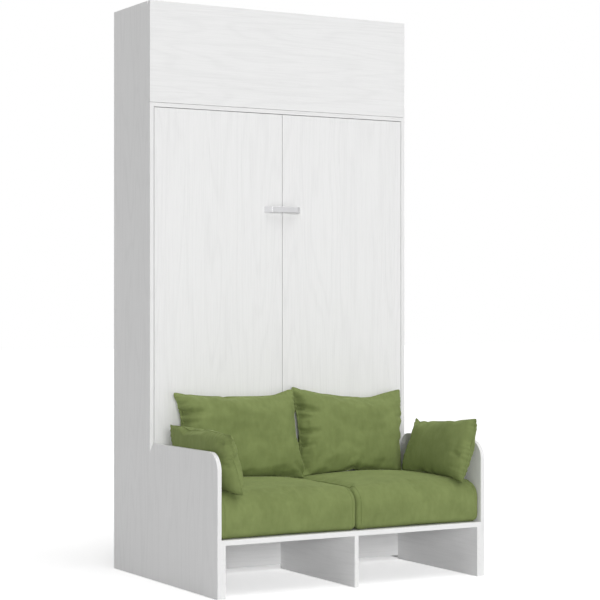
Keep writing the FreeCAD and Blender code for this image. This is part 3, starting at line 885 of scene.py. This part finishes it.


# %% [markdown]
# ## Back cushions
#
# The two back cushions lean on the tall doors and stand on the seat cushions. Each is turned
# upright and leaned back, and its top and its two sides are fitted to lines. The places on these
# lines, and those of the creases, were read from the picture, worked out in metres before this
# script was written, and corrected by looking at renders. The cushion is pressed flat only
# where it rests: against the doors and down onto the crowned seat. The left cushion's inner edge
# lies in front of the right one's.

# %% Back cushions
back_slope = 0.18
back_lean = math.degrees(math.atan(back_slope))
back_height = 0.424
back_thickness = 0.150
back_sink = 0.016
back_bulge = 0.02
back_gather = 0.0038
back_seed = {"left": 4, "right": 11}
back_move = {"left": Vector((0.012, -0.010, 0)), "right": Vector((0.004, 0.004, 0))}
back_rim = {
    "left": (("x", "+z", ((-0.590, 0.845), (-0.567, 0.845), (-0.504, 0.836), (-0.426, 0.829),
                          (-0.278, 0.824), (-0.117, 0.822), (-0.060, 0.832), (-0.012, 0.848),
                          (0.026, 0.867)), 0.22),
             ("z", "-x", ((0.45, -0.580), (0.60, -0.568), (0.706, -0.561), (0.733, -0.559),
                          (0.769, -0.562), (0.800, -0.576), (0.835, -0.604)), 0.20),
             ("z", "+x", ((0.45, 0.125), (0.495, 0.066), (0.590, 0.034), (0.649, 0.028),
                          (0.714, 0.026), (0.798, 0.030), (0.855, 0.034)), 0.20, 0.060)),
    "right": (("x", "+z", ((0.050, 0.852), (0.092, 0.843), (0.177, 0.828), (0.319, 0.809),
                           (0.463, 0.799), (0.522, 0.815), (0.596, 0.832), (0.636, 0.837)), 0.22),
              ("z", "-x", ((0.45, 0.030), (0.55, 0.046), (0.62, 0.052), (0.70, 0.050),
                           (0.78, 0.042), (0.85, 0.032)), 0.20),
              ("z", "+x", ((0.463, 0.605), (0.519, 0.611), (0.591, 0.614), (0.710, 0.624),
                           (0.782, 0.636), (0.830, 0.643)), 0.20)),
}
back_creases = {
    "left": (((-0.565, 0, 0.757), (-0.43, 0, 0.765), 0.014, 0.018),
             ((-0.558, 0, 0.712), (-0.49, 0, 0.722), 0.010, 0.008),
             ((-0.11, 0, 0.440), (-0.13, 0, 0.510), 0.011, 0.008),
             ((0.045, 0, 0.452), (-0.03, 0, 0.520), 0.012, 0.009)),
    "right": (((0.045, 0, 0.765), (0.150, 0, 0.742), 0.013, 0.018),
              ((0.050, 0, 0.720), (0.120, 0, 0.722), 0.009, 0.008),
              ((0.052, 0, 0.650), (0.140, 0, 0.655), 0.012, 0.015),
              ((0.052, 0, 0.585), (0.110, 0, 0.600), 0.010, 0.009),
              ((0.34, 0, 0.440), (0.32, 0, 0.515), 0.011, 0.008),
              ((0.622, 0, 0.700), (0.555, 0, 0.712), 0.011, 0.007)),
}
door_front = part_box("front_panel_left")[0].y

for side in ("left", "right"):
    node = "back_cushion_" + side
    low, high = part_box(node)
    size = (high.x - low.x, back_height, back_thickness)
    cushion = sewn_cushion("back_pillow_" + side, size, slack=1.05, seed=back_seed[side],
                           volume_share=0.44, fullness=0.85, calming=3)
    turn(cushion, "X", 90 - back_lean)
    shape_all(cushion, bpy.ops.transform.translate,
              value=(low + high) / 2 + back_move[side] - Vector((0, 0, back_sink)))
    for rim in back_rim[side]:
        fit_rim(cushion, *rim)
    keep_within(cushion, (-out_of_reach, low.y - back_bulge, low.z),
                (out_of_reach, door_front - rest_gap, out_of_reach))
    rest_and_detail(cushion, seat_pads[side], back_seed[side], back_gather, (0, -1, 0), back_creases[side])
    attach(cushion, node)
    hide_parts(node)

# %% [markdown]
# ## Arm cushions
#
# The smaller cushions stand along the arms. Each leans outward on its arm board, and its lower edge
# stands on the seat cushion. All four sides of its rim are fitted to lines, whose places come from
# the picture in the same way as those of the back cushions. The arm cushions are stuffed more
# tightly, so their front ends are blunt and full of short gathers.

# %% Arm cushions
arm_slope = 0.25
arm_lean = math.degrees(math.atan(arm_slope))
arm_gather = 0.0055
arm_turn = {"left": 3.7, "right": 2.2}
arm_size = (0.500, 0.276, 0.114)
arm_seed = {"left": 21, "right": 33}
arm_middle = {"left": (-0.616, -0.276, 0.578), "right": (0.601, -0.300, 0.582)}
arm_rim = {
    "left": (("y", "+z", ((-0.520, 0.688), (-0.480, 0.698), (-0.404, 0.703), (-0.285, 0.710),
                          (-0.144, 0.713), (-0.070, 0.711), (-0.036, 0.706)), 0.16),
             ("y", "-z", ((-0.530, 0.437), (-0.40, 0.434), (-0.10, 0.440)), 0.12),
             ("z", "-y", ((0.44, -0.534), (0.55, -0.546), (0.62, -0.544), (0.66, -0.530),
                          (0.69, -0.508)), 0.14),
             ("z", "+y", ((0.44, -0.034), (0.60, -0.030), (0.70, -0.018)), 0.14)),
    "right": (("y", "+z", ((-0.540, 0.726), (-0.429, 0.714), (-0.315, 0.702), (-0.197, 0.697),
                           (-0.120, 0.692), (-0.086, 0.687)), 0.16),
              ("y", "-z", ((-0.520, 0.436), (-0.36, 0.434), (-0.10, 0.440)), 0.12),
              ("z", "-y", ((0.44, -0.520), (0.56, -0.535), (0.66, -0.548), (0.72, -0.544)), 0.14),
              ("z", "+y", ((0.46, -0.050), (0.60, -0.066), (0.69, -0.080)), 0.14)),
}
arm_creases = {
    "left": (((-0.62, -0.495, 0.660), (-0.65, -0.410, 0.650), 0.010, 0.008),
             ((-0.58, -0.500, 0.560), (-0.62, -0.430, 0.575), 0.009, 0.006)),
    "right": (((0.60, -0.500, 0.560), (0.58, -0.430, 0.580), 0.010, 0.008),
              ((0.59, -0.505, 0.500), (0.57, -0.420, 0.510), 0.009, 0.007)),
}
arm_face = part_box("arm_panel_right")[0].x - rest_gap

for side, outward in (("left", -1), ("right", 1)):
    node = "arm_cushion_" + side
    cushion = sewn_cushion("arm_pillow_" + side, arm_size, slack=1.06, seed=arm_seed[side],
                           volume_share=0.56, fullness=0.60, calming=10)
    for axis, degrees in (("X", 90), ("Z", 90), ("Y", outward * arm_lean), ("Z", arm_turn[side])):
        turn(cushion, axis, degrees)
    shape_all(cushion, bpy.ops.transform.translate, value=arm_middle[side])
    for rim in arm_rim[side]:
        fit_rim(cushion, *rim)
    keep_within(cushion, (-arm_face, -out_of_reach, 0), (arm_face, out_of_reach, out_of_reach))
    rest_and_detail(cushion, seat_pads[side], arm_seed[side], arm_gather, (-1, 0, 0), arm_creases[side])
    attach(cushion, node)
    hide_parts(node)

# %% [markdown]
# ## Mattress
#
# The mattress shows when the bed is open. Its two large faces are quilted in diamonds, the border
# is plain, and a piped edge joins them. A rounded block is remeshed into even squares, and the
# points of the large faces move inwards by a formula: all the way on the stitched lines, and less
# and less towards the middle between them. Quilting this shallow needs no cloth simulation.

# %% Mattress
mattress_voxel = 0.012
mattress_upright_round = 0.044
mattress_edge_round = 0.0132
quilt_pitch = 0.16
quilt_depth = 0.007
quilt_face_depth = 0.012
quilt_border = 0.02
quilt_fade = 0.03
mattress_piping = 0.0045
mattress_piping_inset = 0.014
mattress_inset = Vector((0.003, 0.001, 0.003))

low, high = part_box("mattress")
mattress = new_block("mattress_cover", low + mattress_inset, high - mattress_inset)
half_depth = (low.y + high.y) / 2
pick(mattress, "EDGE", lambda middle: abs(middle.y - half_depth) < hair)
shape(bpy.ops.mesh.bevel, offset=mattress_upright_round, segments=8, affect="EDGES")
shape_all(mattress, bpy.ops.mesh.bevel, offset=mattress_edge_round, segments=3, affect="EDGES",
          clamp_overlap=True)
finish_with(mattress, "REMESH", mode="VOXEL", voxel_size=mattress_voxel)
for corner in mattress.data.vertices:
    x, y, z = corner.co
    inset = min(x - low.x, high.x - x, z - low.z, high.z - z)
    from_face = min(y - low.y, high.y - y)
    if from_face < quilt_face_depth and inset > quilt_border:
        rising = abs(math.sin(math.pi * (x + z) / quilt_pitch))
        falling = abs(math.sin(math.pi * (x - z) / quilt_pitch))
        puff = min(rising, falling) ** 0.5
        outward = 1 if y > half_depth else -1
        corner.co.y -= outward * quilt_depth * (1 - puff) * min(1, (inset - quilt_border) / quilt_fade)
finish_with(mattress, "SMOOTH", factor=0.4, iterations=1)
smooth_shading(mattress, ticking)
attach(mattress, "bed")
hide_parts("mattress")
for place, y in (("under", low.y + mattress_piping_inset), ("upper", high.y - mattress_piping_inset)):
    piping = piped_seam("mattress_piping_" + place, mattress, (0, y, 0), (0, 1, 0), mattress_piping, ticking)
    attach(piping, "bed")
print("mattress", len(mattress.data.polygons), "faces", size_of(mattress))

# %% [markdown]
# ## Mattress straps
#
# Two flat straps hold the mattress on the frame when the bed stands upright. Each runs from one side
# rail, over the mattress, to the other rail. It is made from a block: its two corners behind the
# mattress are rounded, the faces that a strap hasn't got are deleted, and what is left is given the
# thickness of webbing.

# %% Mattress straps
strap_thickness = 0.002
strap_width = 0.050
strap_corner_round = 0.022
strap_edge_round = 0.0006
low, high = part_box("mattress_straps")
for place, middle in (("lower", low.z + strap_width / 2), ("upper", high.z - strap_width / 2)):
    bottom, top = middle - strap_width / 2, middle + strap_width / 2
    strap = new_block("mattress_strap_" + place, (low.x, low.y, bottom), (high.x, high.y, top))
    pick(strap, "EDGE", lambda point: abs(point.z - middle) < hair and point.y > high.y - hair)
    shape(bpy.ops.mesh.bevel, offset=strap_corner_round, segments=6, affect="EDGES")
    pick(strap, "FACE", lambda point: point.y < low.y + hair or not bottom + hair < point.z < top - hair)
    shape(bpy.ops.mesh.delete, type="FACE")
    finish_with(strap, "SOLIDIFY", thickness=strap_thickness, offset=-1)
    finish_with(strap, "BEVEL", width=strap_edge_round, segments=2)
    smooth_shading(strap, webbing)
    bpy.ops.object.shade_smooth_by_angle(angle=math.radians(35))
    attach(strap, "bed")
    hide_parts("mattress_straps")
    print(strap.name, len(strap.data.polygons), "faces")

# %% [markdown]
# ## Screws
#
# The fittings are held by small screws with a socket in the head. They show when the bed or the
# flap is open. For each size, one low cylinder gets an eased edge and a socket, and the heads are
# copies of it with their own mesh. The heads of one size on one side are joined into one piece, and
# so are those of the flap's hinges.

# %% Screws
screw_height = 0.0022
screw_top = screw_height / 2
screw_hair = 1e-5
head_round_share = 0.22
socket_wall_share = 0.32
socket_depth_share = 0.6
turn_to_face = {"+x": ("Y", 90), "-x": ("Y", -90), "-y": ("X", 90)}


def screw_head(radius):
    """A low round head on XY, facing +Z, with its socket."""
    bpy.ops.object.select_all(action="DESELECT")
    bpy.ops.mesh.primitive_cylinder_add(vertices=18, radius=radius, depth=screw_height)
    head = bpy.context.object
    pick(head, "EDGE", lambda middle: middle.z > screw_top - screw_hair)
    shape(bpy.ops.mesh.bevel, offset=radius * head_round_share, segments=2, affect="EDGES")
    pick(head, "FACE", lambda middle: middle.z > screw_top - screw_hair and middle.length < screw_height)
    shape(bpy.ops.mesh.inset, thickness=radius * socket_wall_share)
    shape(bpy.ops.mesh.extrude_region_move,
          TRANSFORM_OT_translate={"value": (0, 0, -screw_height * socket_depth_share)})
    return head


def screws(name, radius, facing, places, body):
    """Copies of one head, turned to face a direction and joined into one piece."""
    head = screw_head(radius)
    turn(head, *turn_to_face[facing])
    copies = []
    for place in places:
        only(head)
        bpy.ops.object.duplicate()
        copy = bpy.context.object
        shape_all(copy, bpy.ops.transform.translate, value=place)
        copies.append(copy)
    bpy.data.objects.remove(head)
    bpy.ops.object.select_all(action="DESELECT")
    for copy in copies:
        copy.select_set(True)
    bpy.context.view_layer.objects.active = copies[0]
    bpy.ops.object.join()
    group = bpy.context.object
    group.name = name
    smooth_shading(group, zinc)
    bpy.ops.object.shade_smooth_by_angle(angle=math.radians(30))
    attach(group, body)
    print(name, len(places), "screws on", body)


def ring(centre, radius, count, first):
    """Places round a centre in the plane across X, the first at an angle in degrees."""
    angles = [math.radians(first + index * 360 / count) for index in range(count)]
    return [Vector((centre[0], centre[1] + radius * math.cos(angle), centre[2] + radius * math.sin(angle)))
            for angle in angles]


# %% Screws on the sides, the bed and the flap hinges
side_plate = 0.006
strut_plate = 0.003
hinge_leaf = 0.0012
flange_ring = 0.0225
spring_ring = 0.0135
strut_ring = 0.0095
bracket_screw = 0.0032
strut_screw = 0.0026
leg_bolt = 0.0048
hinge_screw = 0.0020
leg_bolt_inset = 0.014
leg_bolt_rises = (0.014, 0.040)
hinge_end_room = 0.036
leaf_steps = (-0.026, -0.018, 0.018, 0.026)
leaf_screw_rise = 0.007
leaf_screw_sink = 0.0003

panel_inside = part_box("arm_panel_right")[0].x
rail_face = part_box("bed_rail_right")[1].x
bracket_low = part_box("leg_brackets")[0]


def plate_middle(node, sign, plate):
    """The middle of a round plate on a side panel, at the level of its screw heads."""
    low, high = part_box(node)
    return (sign * (panel_inside - plate - screw_top), (low.y + high.y) / 2, (low.z + high.z) / 2)


for side, sign, facing, outward in (("left", -1, "+x", "-x"), ("right", 1, "-x", "+x")):
    places = ring(plate_middle("pivot_flanges", sign, side_plate), flange_ring, count=4, first=45)
    places += ring(plate_middle("gas_spring_brackets", sign, side_plate), spring_ring, count=3, first=90)
    screws("bracket_screws_" + side, bracket_screw, facing, places, "carcass")
    places = ring(plate_middle("flap_strut_brackets", sign, strut_plate), strut_ring, count=3, first=90)
    screws("strut_screws_" + side, strut_screw, facing, places, "carcass")
    bolts = [Vector((sign * (rail_face + side_plate + screw_top), bracket_low.y + leg_bolt_inset,
                     bracket_low.z + rise)) for rise in leg_bolt_rises]
    screws("leg_bracket_bolts_" + side, leg_bolt, outward, bolts, "bed")

hinge_low, hinge_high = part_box("flap_hinge_fixed")
leaf_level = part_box("upper_top_board")[0].y - hinge_leaf + screw_top - leaf_screw_sink
hinge_centres = (hinge_low.x + hinge_end_room, (hinge_low.x + hinge_high.x) / 2,
                 hinge_high.x - hinge_end_room)
leaf_screws = [Vector((centre + step, leaf_level, hinge_low.z + leaf_screw_rise))
               for centre in hinge_centres for step in leaf_steps]
screws("hinge_screws", hinge_screw, "-y", leaf_screws, "carcass")
